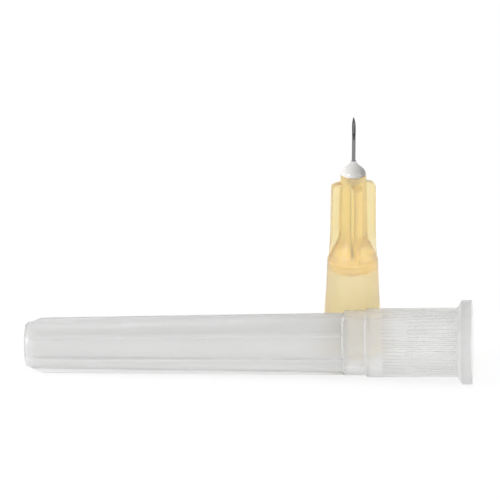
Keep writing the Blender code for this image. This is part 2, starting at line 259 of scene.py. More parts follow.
class CapSettings(PropertyGroup):
    """Sizes and finish of the protective cap, measured along its axis from the closed end."""

    length: size("Length", "From the closed end to the mouth", 0.0428)
    closed_radius: size("Closed end radius", "Outer radius between the ribs at the closed end", 0.0022)
    tube_radius: size("Tube radius", "Outer radius between the ribs at the neck", 0.0028)
    neck_start: size("Neck start", "From the closed end to the neck", 0.0305)
    neck_radius: size("Neck radius", "Outer radius of the neck", 0.00311)
    wide_start: size("Wide start", "From the closed end to the wide part", 0.0326)
    wide_radius: size("Wide radius", "Outer radius of the wide part", 0.0033)
    flange_radius: size("Flange radius", "Outer radius of the flange", 0.00402)
    flange_thickness: size("Flange thickness", "Thickness of the flange", 0.00105)
    rib_count: how_many("Ribs", "Number of ribs round the tube", 7)
    rib_width: size("Rib width", "Width of a rib", 0.00042)
    rib_radius: size("Rib radius", "Outer radius of the ribs at the closed end", 0.00273)
    cavity_end_wall: size("End wall", "Thickness of the closed end", 0.0007)
    cavity_closed_radius: size("Cavity radius at the end", "Radius of the cavity at its closed end", 0.0015)
    cavity_narrow_radius: size("Cavity radius at the seat", "Radius of the cavity before its seat", 0.00195)
    spline_count: how_many("Splines", "Number of splines inside the mouth", 50)
    spline_depth: size("Spline depth", "Depth of the grooves between the splines", 0.00011)
    spline_length: size("Spline length", "From the mouth to the splines' inner end", 0.0086)
    tint: colour("Tint", "Colour of the milky plastic", (0.965, 0.965, 0.96))
    clearness: share("Clearness", "How much light goes through the tube and isn't scattered", 0.72)
    mouth_tint: colour("Mouth tint", "Colour of the thin wall round the splines", (0.955, 0.955, 0.95))
    mouth_clearness: share("Mouth clearness", "How much light goes through the splines' wall", 0.76)
    rim_clearness: share("Rim clearness", "How much light goes through the face of the mouth", 0.45)


class HubSettings(PropertyGroup):
    """Sizes and finish of the hub, measured up from its open end."""

    height: size("Height", "From the open end to the rim of the nose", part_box("hub")[1].z)
    nose_radius: size("Nose radius", "Outer radius of the nose at its rim", 0.00123)
    nose_base_radius: size("Nose base radius", "Outer radius of the nose at the shoulder", 0.00138)
    shoulder_top: size("Shoulder top", "Height at which the shoulder starts", 0.0119)
    shoulder_bottom: size("Shoulder bottom", "Height at which the shoulder ends", 0.00975)
    shoulder_radius: size("Shoulder radius", "Outer radius at the bottom of the shoulder", 0.00244)
    body_radius: size("Body radius", "Outer radius of the body at the collar", 0.00288)
    collar_radius: size("Collar radius", "Outer radius of the collar", 0.00335)
    collar_thickness: size("Collar thickness", "Thickness of the collar", 0.001)
    fin_radius: size("Fin radius", "Outer radius of the fins at their top", 0.00212)
    fin_base_radius: size("Fin base radius", "Outer radius of the fins where they start to narrow", 0.00216)
    fin_point_radius: size("Fin point radius", "Outer radius of the fins at their point", 0.00238)
    fin_thickness: size("Fin thickness", "Thickness of a fin", 0.00095)
    fin_below_rim: size("Fin below rim", "From the rim of the nose down to the fins", 0.00077)
    fin_taper: size("Fin taper", "Length over which a fin narrows to its point", 0.0026)
    fin_turn: bearing("Fin turn", "Turn of the first fin", 16.5)
    lug_span: size("Lug span", "Width across the two lugs", 0.0078)
    lug_width: size("Lug width", "Width of a lug", 0.0028)
    socket_radius: size("Socket radius", "Radius of the socket at its mouth", 0.00215)
    socket_taper: share("Socket taper", "Loss of diameter for each unit of depth", 0.06)
    socket_depth: size("Socket depth", "Depth of the socket", 0.0087)
    tint: colour("Tint", "Colour of the amber plastic where it is solid", (0.94, 0.89, 0.68))
    wall_tint: colour("Wall tint", "Colour of the thin wall round the socket", (1.0, 0.98, 0.89))
    depth_tint: colour("Depth tint", "Colour that the plastic gives to light inside it", (0.99, 0.872, 0.2))
    clearness: share("Clearness", "How much light goes through and isn't scattered", 0.74)


class CannulaSettings(PropertyGroup):
    """Sizes and finish of the cannula and of the bead that bonds it."""

    radius: size("Radius", "Outer radius of the cannula", 0.00018)
    bore_radius: size("Bore radius", "Radius of the cannula's bore", 0.0001)
    bevel_length: size("Bevel length", "Length of the first ground plane", 0.0023)
    lancet_length: size("Lancet length", "Length of the two side planes of the point", 0.0013)
    lancet_turn: bearing("Lancet turn", "Turn of the side planes", 38)
    bevel_facing: bearing("Bevel facing", "Way the bevel faces", -78)
    steel: colour("Steel", "Colour of the drawn steel", (0.25, 0.25, 0.26))
    ground_steel: colour("Ground steel", "Colour of the ground faces", (0.1, 0.1, 0.105))
    bead_radius: size("Bead radius", "Radius of the bead on the rim", 0.0012)
    bead_height: size("Bead height", "Height of the bead above the rim", 0.0014)
    bead_tint: colour("Bead tint", "Colour of the adhesive", (1.0, 0.99, 0.98))
    # Painted shade: the bead fades to this dark colour towards its +X side, in place of the shade that the
    # lamps would give there
    bead_painted_shade: colour("Bead shade", "Colour of the adhesive on its cloudy side", (0.34, 0.33, 0.32))


class StudioSettings(PropertyGroup):
    """Camera, floor and lamps."""

    camera_turn: bearing("Camera turn", "Turn of the camera", 4.2)
    camera_rise: bearing("Camera rise", "Angle above the floor", 22)
    camera_distance: size("Camera distance", "From the camera to its aim", 0.46)
    camera_lens: FloatProperty(
        name="Lens", description="Focal length in millimetres", default=346.5, min=1.0, unit="CAMERA"
    )
    aim: FloatVectorProperty(
        name="Aim",
        description="Point that the camera looks at",
        default=(-0.00013, 0, 0.0116),
        subtype="XYZ",
    )
    ambient: brightness("Ambient", "Light from all round", 0.78)
    key: brightness("Key", "Share of the light that comes from the left", 0.4)
    fill: brightness("Fill", "Share of the light that comes from the right", 0.3)


# General helpers


def between(start, end, part):
    return start + (end - start) * part


def arc(centre_r, centre_z, radius, start, end, steps=ARC_STEPS):
    """Points of a round corner in an outline, from one angle to the other in degrees."""
    angles = [radians(between(start, end, i / steps)) for i in range(steps + 1)]
    return [(centre_r + radius * cos(a), centre_z + radius * sin(a)) for a in angles]


def supported(outline):
    """Adds a point beside each end of a long stretch, so that shading stays true up to its corners."""
    result = [outline[0]]
    for (r1, z1), (r2, z2) in zip(outline, outline[1:]):
        length = sqrt((r2 - r1) ** 2 + (z2 - z1) ** 2)
        if length > 4 * SUPPORT:
            near = SUPPORT / length
            result += [(between(r1, r2, part), between(z1, z2, part)) for part in (near, 1 - near)]
        result.append((r2, z2))
    return result


def spun(outline, segments):
    """Turns a closed outline of (radius, height) points round Z. The ring layer keeps their numbers."""
    bm = bmesh.new()
    ring = bm.verts.layers.int.new("ring")
    verts = []
    for number, (radius, height) in enumerate(outline):
        vert = bm.verts.new((radius, 0, height))
        vert[ring] = number
        verts.append(vert)
    for a, b in zip(verts, verts[1:] + verts[:1]):
        if max(a.co.x, b.co.x) > MERGE_DISTANCE:
            bm.edges.new((a, b))
    bmesh.ops.spin(
        bm,
        geom=bm.verts[:] + bm.edges[:],
        cent=(0, 0, 0),
        axis=(0, 0, 1),
        angle=2 * pi,
        steps=segments,
        use_merge=True,
    )
    bmesh.ops.remove_doubles(bm, verts=bm.verts, dist=MERGE_DISTANCE)
    return bm


def ridge_point(step, base, half_width, top, edge, root):
    """A point across half a ridge, as its distance outwards and sideways from the turned surface's axis."""
    edge = min(edge, half_width * EDGE_SHARE)
    angle = radians((EDGE_ANGLES[:1] + EDGE_ANGLES + ROOT_ANGLES)[step])
    if step == 0:
        sideways = 0
    elif step <= LAST_EDGE_STEP:
        sideways = half_width - edge + edge * cos(angle)
    else:
        sideways = half_width + RIDGE_DRAFT + root * (1 - cos(angle))
    surface = sqrt(base**2 - sideways**2)
    height = top - sqrt(base**2 - half_width**2)
    if height <= 0:
        return surface, sideways
    if step <= LAST_EDGE_STEP:
        return max(surface, top - min(edge, height / 2) * (1 - sin(angle))), sideways
    return surface + min(root, height / 2) * (1 - sin(angle)), sideways


def raise_ridges(bm, outline, outer_rings, segments, count, first_turn, section, root):
    """Draws ridges out of a turned surface. At each height and for each ridge, section gives its half
    width, how far out its top is, and how round its edges are. Points between ridges are spread evenly."""
    ring = bm.verts.layers.int["ring"]
    in_sector = segments // count
    for vert in bm.verts:
        base, along = outline[vert[ring]]
        place = round(atan2(vert.co.y, vert.co.x) / (2 * pi) * segments) % segments
        if vert[ring] >= outer_rings or base < 2 * SUPPORT:
            turn = first_turn + 2 * pi * place / segments
            vert.co = (base * cos(turn), base * sin(turn), along)
            continue
        number = round(place / in_sector) % count
        step = (place - number * in_sector + segments // 2) % segments - segments // 2
        half_width, top, edge = section(along, number)
        out, side = ridge_point(min(abs(step), LAST_RIDGE_STEP), base, half_width, top, edge, root)
        angle, radius = atan2(side, out), sqrt(out**2 + side**2)
        if abs(step) > LAST_RIDGE_STEP:
            spare = (abs(step) - LAST_RIDGE_STEP) / (in_sector / 2 - LAST_RIDGE_STEP)
            angle = between(angle, pi / count, spare)
        turn = first_turn + 2 * pi * number / count + (angle if step > 0 else -angle)
        vert.co = (radius * cos(turn), radius * sin(turn), along)


def object_from(bm, name):
    bmesh.ops.recalc_face_normals(bm, faces=bm.faces)
    mesh = bpy.data.meshes.new(name)
    bm.to_mesh(mesh)
    bm.free()
    obj = bpy.data.objects.new(name, mesh)
    bpy.context.scene.collection.objects.link(obj)
    return obj


def finish_piece(obj, node, materials):
    """Shades a piece, gives it its materials and lets it stand for its CAD node."""
    for material in materials:
        obj.data.materials.append(material)
    obj.data.shade_smooth()
    obj.data.set_sharp_from_angle(angle=SHARP_ANGLE)
    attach(obj, BODY)
    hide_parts(node)


def moved_to(bm, place):
    bmesh.ops.translate(bm, verts=bm.verts, vec=place)


def hub_place():
    low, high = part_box("hub")
    return Vector(((low.x + high.x) / 2, (low.y + high.y) / 2, low.z))


# Materials


def new_material(name):
    material = bpy.data.materials.new(name)
    material.use_nodes = True
    return material, material.node_tree.nodes, material.node_tree.links


def object_mapping(nodes, links, scale, turn=(0, 0, 0)):
    """Object coordinates, turned to the piece's own axis and stretched."""
    coordinates = nodes.new("ShaderNodeTexCoord")
    mapping = nodes.new("ShaderNodeMapping")
    mapping.vector_type = "TEXTURE"
    mapping.inputs["Rotation"].default_value = turn
    mapping.inputs["Scale"].default_value = scale
    links.new(coordinates.outputs["Object"], mapping.inputs["Vector"])
    return mapping.outputs["Vector"]


def noise(nodes, links, vector, scale, layers, contrast=0.5):
    texture = nodes.new("ShaderNodeTexNoise")
    texture.inputs["Scale"].default_value = scale
    texture.inputs["Detail"].default_value = layers
    texture.inputs["Roughness"].default_value = contrast
    links.new(vector, texture.inputs["Vector"])
    return texture.outputs["Fac"]


def spread(nodes, links, value, reach=(0, 1)):
    """Spreads the middle of a noise over a range."""
    node = nodes.new("ShaderNodeMapRange")
    node.inputs["From Min"].default_value = NOISE_RANGE[0]
    node.inputs["From Max"].default_value = NOISE_RANGE[1]
    node.inputs["To Min"].default_value = reach[0]
    node.inputs["To Max"].default_value = reach[1]
    links.new(value, node.inputs["Value"])
    return node.outputs["Result"]


def blend_colours(nodes, links, value, first, second):
    node = nodes.new("ShaderNodeMix")
    node.data_type = "RGBA"
    node.inputs["A"].default_value = (*first, 1)
    node.inputs["B"].default_value = (*second, 1)
    links.new(value, node.inputs["Factor"])
    return node.outputs["Result"]


def tinted(nodes, links, tint, value, other):
    """Multiplies a colour by another one as far as the value says."""
    node = nodes.new("ShaderNodeMix")
    node.data_type = "RGBA"
    node.blend_type = "MULTIPLY"
    node.inputs["B"].default_value = (*other, 1)
    links.new(tint, node.inputs["A"])
    links.new(value, node.inputs["Factor"])
    return node.outputs["Result"]


def bump(nodes, links, value, distance, under=None):
    """Raises a pattern out of the surface, or out of another bump."""
    node = nodes.new("ShaderNodeBump")
    node.inputs["Strength"].default_value = 1.0
    node.inputs["Distance"].default_value = distance
    links.new(value, node.inputs["Height"])
    if under:
        links.new(under, node.inputs["Normal"])
    return node.outputs["Normal"]


def absorbing(nodes, links, tint, density):
    """Absorption inside a clear plastic, which deepens its colour where it is thick."""
    volume = nodes.new("ShaderNodeVolumeAbsorption")
    volume.inputs["Color"].default_value = (*tint, 1)
    volume.inputs["Density"].default_value = density
    links.new(volume.outputs["Volume"], nodes["Material Output"].inputs["Volume"])


def scaled_tint(tint, factor):
    return tuple(channel * factor for channel in tint)


def milky_plastic(name, tint, clearness, roughness, tilt):
    """Polypropylene between two roughnesses, with faint clouds and flow lines along the cap."""
    material, nodes, links = new_material(name)
    shader = nodes["Principled BSDF"]
    shader.inputs["IOR"].default_value = MILKY_IOR
    shader.inputs["Transmission Weight"].default_value = clearness
    along = object_mapping(nodes, links, MILKY_FLOW, (0, -tilt, 0))
    clouds = spread(nodes, links, noise(nodes, links, along, MILKY_CLOUDS, MANY_LAYERS))
    shade = scaled_tint(tint, MILKY_CLOUD_SHADE)
    links.new(blend_colours(nodes, links, clouds, shade, tint), shader.inputs["Base Color"])
    gloss = noise(nodes, links, along, MILKY_GLOSS, SOME_LAYERS)
    links.new(spread(nodes, links, gloss, roughness), shader.inputs["Roughness"])
    grain_flow = object_mapping(nodes, links, MILKY_GRAIN_FLOW)
    grain = noise(nodes, links, grain_flow, MILKY_GRAIN, FEW_LAYERS)
    links.new(bump(nodes, links, grain, MILKY_GRAIN_HEIGHT), shader.inputs["Normal"])
    absorbing(nodes, links, MILKY_DEPTH_TINT, MILKY_DEPTH)
    return material


def part_along(nodes, links, axis, low, high):
    """0 at the low end of a stretch along one axis, and 1 at its high end."""
    coordinates = nodes.new("ShaderNodeTexCoord")
    place = nodes.new("ShaderNodeSeparateXYZ")
    links.new(coordinates.outputs["Object"], place.inputs["Vector"])
    part = nodes.new("ShaderNodeMapRange")
    part.inputs["From Min"].default_value = low
    part.inputs["From Max"].default_value = high
    links.new(place.outputs[axis], part.inputs["Value"])
    return part.outputs["Result"]


def flow_marks(nodes, links, settings):
    """Wavy marks round the foot of the shoulder, where the plastic closed round the mould's core."""
    flow = object_mapping(nodes, links, MARK_FLOW)
    marks = spread(nodes, links, noise(nodes, links, flow, MARK_SCALE, FEW_LAYERS), MARK_CONTRAST)
    foot = settings.shoulder_bottom
    for start in (foot - MARK_REACH, foot + MARK_REACH):
        fade = nodes.new("ShaderNodeMath")
        fade.operation = "MULTIPLY"
        links.new(marks, fade.inputs[0])
        links.new(part_along(nodes, links, "Z", start, foot), fade.inputs[1])
        marks = fade.outputs["Value"]
    return marks


def amber_plastic(settings):
    """Amber plastic that lets light through: pale where it is thin and deep where it is thick."""
    material, nodes, links = new_material("amber_plastic_hub")
    shader = nodes["Principled BSDF"]
    shader.inputs["IOR"].default_value = AMBER_IOR
    shader.inputs["Transmission Weight"].default_value = settings.clearness
    upright = object_mapping(nodes, links, AMBER_FLOW)
    solid = part_along(nodes, links, "Z", settings.shoulder_bottom, settings.shoulder_top)
    tint = blend_colours(nodes, links, solid, settings.wall_tint, settings.tint)
    clouds = spread(nodes, links, noise(nodes, links, upright, AMBER_CLOUDS, MANY_LAYERS))
    tint = tinted(nodes, links, tint, clouds, AMBER_CLOUD_SHADE)
    marks = flow_marks(nodes, links, settings)
    links.new(tinted(nodes, links, tint, marks, MARK_SHADE), shader.inputs["Base Color"])
    gloss = noise(nodes, links, upright, AMBER_GLOSS, SOME_LAYERS)
    links.new(spread(nodes, links, gloss, AMBER_ROUGHNESS), shader.inputs["Roughness"])
    grain = noise(nodes, links, upright, AMBER_GRAIN, FEW_LAYERS)
    waves = bump(nodes, links, marks, MARK_HEIGHT)
    links.new(bump(nodes, links, grain, AMBER_GRAIN_HEIGHT, waves), shader.inputs["Normal"])
    absorbing(nodes, links, settings.depth_tint, AMBER_DEPTH)
    return material


def streaked_steel(name, tint, roughness, streaks, height):
    """Steel with fine streaks along the tube, or across it where it was ground."""
    material, nodes, links = new_material(name)
    shader = nodes["Principled BSDF"]
    shader.inputs["Metallic"].default_value = 1.0
    stretched = object_mapping(nodes, links, streaks)
    fine = noise(nodes, links, stretched, STREAK_SCALE, MANY_LAYERS, STREAK_CONTRAST)
    tone, shade = spread(nodes, links, fine), scaled_tint(tint, STREAK_SHADE)
    links.new(blend_colours(nodes, links, tone, shade, tint), shader.inputs["Base Color"])
    links.new(spread(nodes, links, fine, roughness), shader.inputs["Roughness"])
    links.new(bump(nodes, links, fine, height), shader.inputs["Normal"])
    return material


def cannula_steels(settings):
    """The steel of the drawn tube, and that of its ground point."""
    drawn = ("drawn_steel", settings.steel, DRAWN_ROUGHNESS, DRAWN_STREAKS, DRAWN_HEIGHT)
    ground = ("ground_steel", settings.ground_steel, GROUND_ROUGHNESS, GROUND_STREAKS, GROUND_HEIGHT)
    return streaked_steel(*drawn), streaked_steel(*ground)


def cured_adhesive(settings):
    """Adhesive with a smooth skin, pale on one side, with painted shade darkening it towards its +X side."""
    material, nodes, links = new_material("cured_adhesive")
    shader = nodes["Principled BSDF"]
    shader.inputs["IOR"].default_value = ADHESIVE_IOR
    shader.inputs["Transmission Weight"].default_value = ADHESIVE_CLEARNESS
    even = object_mapping(nodes, links, (1, 1, 1))
    haze = spread(nodes, links, noise(nodes, links, even, HAZE_SCALE, SOME_LAYERS))
    # Painted shade: the colour runs across X from the pale tint to the dark painted shade on the +X side,
    # standing in for the lighting
    middle, reach = hub_place().x, settings.bead_radius * ADHESIVE_PAINTED_SHADE_REACH
    side = part_along(nodes, links, "X", middle - reach, middle + reach)
    tint = blend_colours(nodes, links, side, settings.bead_tint, settings.bead_painted_shade)
    links.new(tinted(nodes, links, tint, haze, HAZE_SHADE), shader.inputs["Base Color"])
    gloss = noise(nodes, links, even, ADHESIVE_GLOSS, FEW_LAYERS)
    links.new(spread(nodes, links, gloss, ADHESIVE_ROUGHNESS), shader.inputs["Roughness"])
    links.new(bump(nodes, links, haze, HAZE_HEIGHT), shader.inputs["Normal"])
    absorbing(nodes, links, ADHESIVE_DEPTH_TINT, ADHESIVE_DEPTH)
    return material


# Cap


def cap_tube_radius(cap, along):
    return between(cap.closed_radius, cap.tube_radius, along / cap.neck_start)


def rib_radius(cap, along):
    """How far out the ribs reach: up the chamfer at the closed end, then straight to under the neck."""
    chamfer_end = RIB_START + RIB_CHAMFER_LENGTH
    foot = cap_tube_radius(cap, RIB_START) - RIB_SUNK
    chamfer = between(foot, cap.rib_radius, (along - RIB_START) / RIB_CHAMFER_LENGTH)
    run = cap.neck_start + CAP_STEP_SLOPE - chamfer_end
    straight = between(cap.rib_radius, cap.neck_radius - RIB_UNDER_NECK, (along - chamfer_end) / run)
    blend = max(RIB_CHAMFER_BLEND - abs(chamfer - straight), 0) ** 2 / (4 * RIB_CHAMFER_BLEND)
    return min(chamfer, straight) - blend


def cap_tilt(cap):
    """Angle of the cap's axis as it lies on its flange and on two ribs."""
    flange_place = cap.length - cap.flange_thickness + CAP_FLANGE_ROUND
    half_gap = pi / cap.rib_count
    reach = cap.rib_radius * cos(half_gap) + cap.rib_width / 2 * sin(half_gap)
    return atan2(cap.flange_radius - reach, flange_place - RIB_START - RIB_CHAMFER_LENGTH)


def cap_outside(cap):
    """Outer outline of the cap, from the middle of its closed end to the edge of its mouth."""
    back = cap.length - cap.flange_thickness
    rim = cap.flange_radius - CAP_FLANGE_ROUND
    tube = cap_tube_radius(cap, cap.neck_start)
    outline = [(0, 0)]
    outline += arc(cap.closed_radius - CAP_END_ROUND, CAP_END_ROUND, CAP_END_ROUND, -90, 0)
    outline += [(cap_tube_radius(cap, along), along) for along in RIB_STATIONS]
    outline += [(tube, cap.neck_start - CAP_NECK_FOOT), (cap.neck_radius, cap.neck_start + CAP_STEP_SLOPE)]
    outline += [(cap.neck_radius, cap.wide_start), (cap.wide_radius, cap.wide_start + CAP_STEP_SLOPE)]
    outline += [(cap.wide_radius, back - CAP_FLANGE_BACK_SLOPE)]
    outline += arc(rim, back + CAP_FLANGE_ROUND, CAP_FLANGE_ROUND, -CAP_FLANGE_BACK_SWEEP, 0)
    corner = cap.flange_radius - CAP_MOUTH_ROUND
    outline += arc(corner, cap.length - CAP_MOUTH_ROUND, CAP_MOUTH_ROUND, 0, 90)
    return supported(outline)


def spline_radius(cap, hub, along):
    """Radius inside the splines, which follow the hub's body that they hold."""
    height = hub.collar_thickness + cap.length - along
    return hub_radius(hub, height) + BODY_ROOM


def cap_inside(cap, hub):
    """Outline of the cavity, from the mouth to the middle of the end wall."""
    seat = cap.length + hub.collar_thickness - hub.height
    splines_start = cap.length - cap.spline_length
    mouth = spline_radius(cap, hub, cap.length)
    corner = cap.cavity_closed_radius - CAVITY_END_ROUND
    outline = [
        (mouth + MOUTH_BEVEL, cap.length),
        (mouth, cap.length - MOUTH_BEVEL),
        (spline_radius(cap, hub, splines_start + SPLINE_FADE), splines_start + SPLINE_FADE),
        (spline_radius(cap, hub, splines_start), splines_start),
        (hub.fin_base_radius + FIN_ROOM, seat),
        (cap.cavity_narrow_radius, seat - CAVITY_SEAT_LENGTH),
    ]
    outline += arc(corner, cap.cavity_end_wall + CAVITY_END_ROUND, CAVITY_END_ROUND, 0, -90)
    outline += [(0, cap.cavity_end_wall)]
    return supported(outline)


def groove_depth(place):
    """Depth of the grooves at a place round the mouth, as a share of their full depth."""
    part = place / SPLINE_SEGMENTS % 1
    flank = min(part, GROOVE_SHARE - part) / GROOVE_FLANK_SHARE
    return min(max(flank, 0), 1)


def cut_grooves(bm, outline, outer_rings, segments, cap):
    """Sinks the grooves between the splines into the wall of the cavity."""
    ring = bm.verts.layers.int["ring"]
    start = cap.length - cap.spline_length
    end = cap.length - MOUTH_BEVEL
    for vert in bm.verts:
        base, along = outline[vert[ring]]
        if vert[ring] < outer_rings or not start < along <= end + SUPPORT / 2:
            continue
        place = round(atan2(vert.co.y, vert.co.x) / (2 * pi) * segments)
        fade = min((along - start) / SPLINE_FADE, 1)
        deeper = (base + cap.spline_depth * fade * groove_depth(place)) / base
        vert.co.x *= deeper
        vert.co.y *= deeper


def rib_section(cap):
    def section(along, number):
        top = rib_radius(cap, along) if along <= cap.neck_start + CAP_STEP_SLOPE else 0
        return cap.rib_width / 2, top, RIB_EDGE_ROUND

    return section


def mark_finishes(bm, cap, outside, inside):
    """Numbers the finishes: satin on the tube and the flange, smooth on the closed end, the neck, the wide
    part and in the cavity, and frosted on the face and the lead of the mouth."""
    ring = bm.verts.layers.int["ring"]
    lead = sum(along > cap.length - MOUTH_BEVEL - SUPPORT / 2 for radius, along in inside)

    def rings_before(place):
        return sum(along < place for radius, along in outside)

    closed_end = rings_before(CAP_END_ROUND + SUPPORT)
    neck = rings_before(cap.neck_start)
    flange = rings_before(cap.length - cap.flange_thickness - CAP_FLANGE_BACK_SLOPE / 2)
    for face in bm.faces:
        low = min(vert[ring] for vert in face.verts)
        high = max(vert[ring] for vert in face.verts)
        smooth = high < closed_end or neck <= high < flange or low >= len(outside)
        frosted = len(outside) <= high < len(outside) + lead
        face.material_index = FROSTED if frosted else SMOOTH if smooth else SATIN


class NEEDLE_OT_make_cap(Operator):
    """Makes the ribbed cap, with the splines inside its mouth"""

    bl_idname = "needle.make_cap"
    bl_label = "Make Cap"

    def execute(self, context):
        cap, hub = context.scene.needle_cap, context.scene.needle_hub
        segments = cap.spline_count * SPLINE_SEGMENTS
        outside, inside = cap_outside(cap), cap_inside(cap, hub)
        outline = outside + inside
        bm = spun(outline, segments)
        section = rib_section(cap)
        first_turn = pi / cap.rib_count
        raise_ridges(bm, outline, len(outside), segments, cap.rib_count, 0, section, RIB_ROOT_ROUND)
        cut_grooves(bm, outline, len(outside), segments, cap)
        mark_finishes(bm, cap, outside, inside)
        tilt = cap_tilt(cap)
        for turn, axis in ((first_turn, "Z"), (pi / 2 - tilt, "Y")):
            matrix = Matrix.Rotation(turn, 3, axis)
            bmesh.ops.rotate(bm, verts=bm.verts, cent=(0, 0, 0), matrix=matrix)
        low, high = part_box("protective_cap")
        own_low = Vector([min(vert.co[axis] for vert in bm.verts) for axis in range(3)])
        own_high = Vector([max(vert.co[axis] for vert in bm.verts) for axis in range(3)])
        moved_to(bm, (low + high) / 2 - (own_low + own_high) / 2)
        obj = object_from(bm, "cap_moulding")
        finishes = (
            ("satin_polypropylene", cap.tint, cap.clearness, SATIN_ROUGHNESS),
            ("smooth_polypropylene", cap.mouth_tint, cap.mouth_clearness, SMOOTH_ROUGHNESS),
            ("frosted_polypropylene", cap.tint, cap.rim_clearness, SATIN_ROUGHNESS),
        )
        materials = [milky_plastic(*finish, tilt) for finish in finishes]
        finish_piece(obj, "protective_cap", materials)
        return {"FINISHED"}


# Hub


def hub_radius(hub, height):
    """Outer radius of the nose, the shoulder or the body at a height."""
    if height >= hub.shoulder_top:
        part = (height - hub.shoulder_top) / (hub.height - hub.shoulder_top)
        return between(hub.nose_base_radius, hub.nose_radius, part)
    if height >= hub.shoulder_bottom:
        part = (height - hub.shoulder_bottom) / (hub.shoulder_top - hub.shoulder_bottom)
        return between(hub.shoulder_radius, hub.nose_base_radius, part)
    part = (hub.shoulder_bottom - height) / (hub.shoulder_bottom - hub.collar_thickness)
    return between(hub.shoulder_radius, hub.body_radius, part)


def fin_top(hub):
    return hub.height - hub.fin_below_rim


def fin_corner(hub):
    """Height of the middle of a fin's round corner."""
    return fin_top(hub) - FIN_TOP_SLOPE - FIN_CORNER_ROUND


def fin_point(hub):
    """Height at which a fin ends in its point on the shoulder."""
    rise = hub.fin_point_radius - FIN_SUNK - hub.nose_base_radius
    part = rise / (hub.shoulder_radius - hub.nose_base_radius)
    return between(hub.shoulder_top, hub.shoulder_bottom, part)


def hub_outside(hub):
    """Outer outline of the hub, from the rim of the nose down to the edge of its underside."""
    nose = hub.nose_radius - RIM_ROUND
    outline = [(WELL_RADIUS, hub.height)] + arc(nose, hub.height - RIM_ROUND, RIM_ROUND, 90, 0)
    heights = [fin_top(hub)]
    heights += [fin_corner(hub) + FIN_CORNER_ROUND * sin(radians(angle)) for angle in FIN_CORNER_ANGLES]
    point = fin_point(hub)
    stations = range(FIN_TAPER_STATIONS + 1)
    heights += [between(point + hub.fin_taper, point, i / FIN_TAPER_STATIONS) for i in stations]
    heights = sorted(heights + [hub.shoulder_top], reverse=True)
    outline += [(hub_radius(hub, height), height) for height in heights]
    outline += [(hub.shoulder_radius, hub.shoulder_bottom)]
    fillet = hub.collar_thickness + COLLAR_ROOT_ROUND
    outline += arc(hub.body_radius + COLLAR_ROOT_ROUND, fillet, COLLAR_ROOT_ROUND, 180, 270)
    edge = hub.collar_radius - COLLAR_ROUND
    outline += arc(edge, hub.collar_thickness - COLLAR_ROUND, COLLAR_ROUND, 90, 0)
    middle = hub.collar_thickness / 2
    for height in (middle + LUG_EDGE, middle - LUG_EDGE):
        outline += [(hub.collar_radius, height)]
    outline += arc(edge, COLLAR_ROUND, COLLAR_ROUND, 0, -90)
    return supported(outline)


def hub_inside(hub):
    """Outline of the hub's passage, from the socket's mouth up to the well in the nose. Its last point is
    left out, because the outside starts with it."""
    socket_end = hub.socket_radius - hub.socket_taper / 2 * hub.socket_depth
    bore = bpy.context.scene.needle_cannula.radius + BORE_ROOM
    return supported([
        (hub.socket_radius + SOCKET_LEAD, 0),
        (hub.socket_radius, SOCKET_LEAD),
        (socket_end, hub.socket_depth),
        (FUNNEL_RADIUS, hub.socket_depth),
        (bore, hub.socket_depth + FUNNEL_DEPTH),
        (bore, hub.height - WELL_DEPTH),
        (WELL_FLOOR_RADIUS, hub.height - WELL_DEPTH),
        (WELL_RADIUS, hub.height),
    ])[:-1]


def fin_section(hub):
    """Section of the fins and, low down, of the two lugs that stand in line with every other fin."""
    corner_radius = hub.fin_radius - FIN_CORNER_ROUND
    taper_top = fin_point(hub) + hub.fin_taper

    def fin(along):
        part = max(min((along - fin_point(hub)) / hub.fin_taper, 1), 0)
        half_width = between(FIN_POINT_WIDTH, hub.fin_thickness, part) / 2
        if along > fin_corner(hub):
            out = corner_radius + sqrt(max(FIN_CORNER_ROUND**2 - (along - fin_corner(hub)) ** 2, 0))
        elif along > taper_top:
            rise = (along - taper_top) / (fin_corner(hub) - taper_top)
            out = between(hub.fin_base_radius, hub.fin_radius, rise)
        else:
            out = between(hub.fin_point_radius, hub.fin_base_radius, part)
        return half_width, out

    def section(along, number):
        if along >= fin_top(hub) - SUPPORT / 2:
            return hub.fin_thickness / 2, 0, FIN_EDGE_ROUND
        if along >= fin_point(hub) - MERGE_DISTANCE:
            return *fin(along), FIN_EDGE_ROUND
        lug = LUG_EDGE + LUG_STEP < along < hub.collar_thickness - LUG_EDGE - LUG_STEP
        if along > hub.collar_thickness:
            part = (fin_point(hub) - along) / (fin_point(hub) - hub.collar_thickness)
            return between(FIN_POINT_WIDTH, hub.lug_width, part) / 2, 0, LUG_CORNER
        return hub.lug_width / 2, hub.lug_span / 2 if lug and number % 2 else 0, LUG_CORNER

    return section


class NEEDLE_OT_make_hub(Operator):
    """Makes the finned amber hub, with its socket and lugs"""

    bl_idname = "needle.make_hub"
    bl_label = "Make Hub"

    def execute(self, context):
        hub = context.scene.needle_hub
        outside = hub_outside(hub)
        outline = outside + hub_inside(hub)
        bm = spun(outline, HUB_SEGMENTS)
        rings, section = len(outside), fin_section(hub)
        raise_ridges(bm, outline, rings, HUB_SEGMENTS, FIN_COUNT, hub.fin_turn, section, FIN_ROOT_ROUND)
        moved_to(bm, hub_place())
        obj = object_from(bm, "hub_moulding")
        finish_piece(obj, "hub", [amber_plastic(hub)])
        return {"FINISHED"}


# Cannula and bead


def grinding_block(name, settings, facing, length, tip_height):
    """A block that grinds the point. Its face runs through the tip, and falls by the length over one
    diameter of the tube."""
    behind = settings.bevel_facing + pi
    tip = Vector((settings.radius * cos(behind), settings.radius * sin(behind), tip_height))
    outwards = Vector((length * cos(facing), length * sin(facing), 2 * settings.radius))
    bm = bmesh.new()
    bmesh.ops.create_cube(bm, size=2 * settings.bevel_length)
    moved_to(bm, (0, 0, settings.bevel_length))
    turn = outwards.to_track_quat("Z", "Y").to_matrix()
    bmesh.ops.rotate(bm, verts=bm.verts, cent=(0, 0, 0), matrix=turn)
    moved_to(bm, tip + hub_place())
    return object_from(bm, name)


